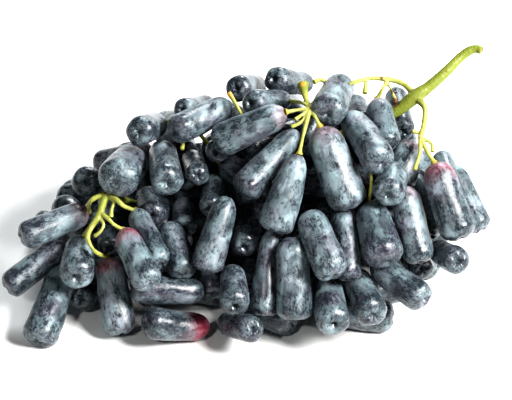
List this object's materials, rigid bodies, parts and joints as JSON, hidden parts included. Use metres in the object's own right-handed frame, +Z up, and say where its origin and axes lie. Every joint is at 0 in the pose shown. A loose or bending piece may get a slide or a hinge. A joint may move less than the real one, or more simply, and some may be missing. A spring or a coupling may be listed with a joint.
{
  "type": "bunch of grapes",
  "caption": "Bunch of long dark finger grapes with dusty bloom, lying heaped on a table, with green stalks and its cut stalk standing clear at one end.",
  "frame": {"origin": "on the table under the middle of the bunch's bounding box", "axes": "+X along the heap towards the cut stalk, +Z up from the table, -Y towards the picture's viewer"},
  "size_m": [0.2604, 0.173, 0.1165],
  "materials": {
    "stalk": "fresh yellow-green stalk with brown cut end and dried tips, soft satin",
    "skin": "blue-black berry skin under a patchy pale grey-blue bloom, plum red at some stem ends, soft satin"
  },
  "bodies": {
    "root": {"stems": "stalk", "berries_tip": "skin", "berries_lower": "skin", "berries_middle": "skin", "berries_upper": "skin", "berries_shoulder": "skin"}
  },
  "joints": []
}
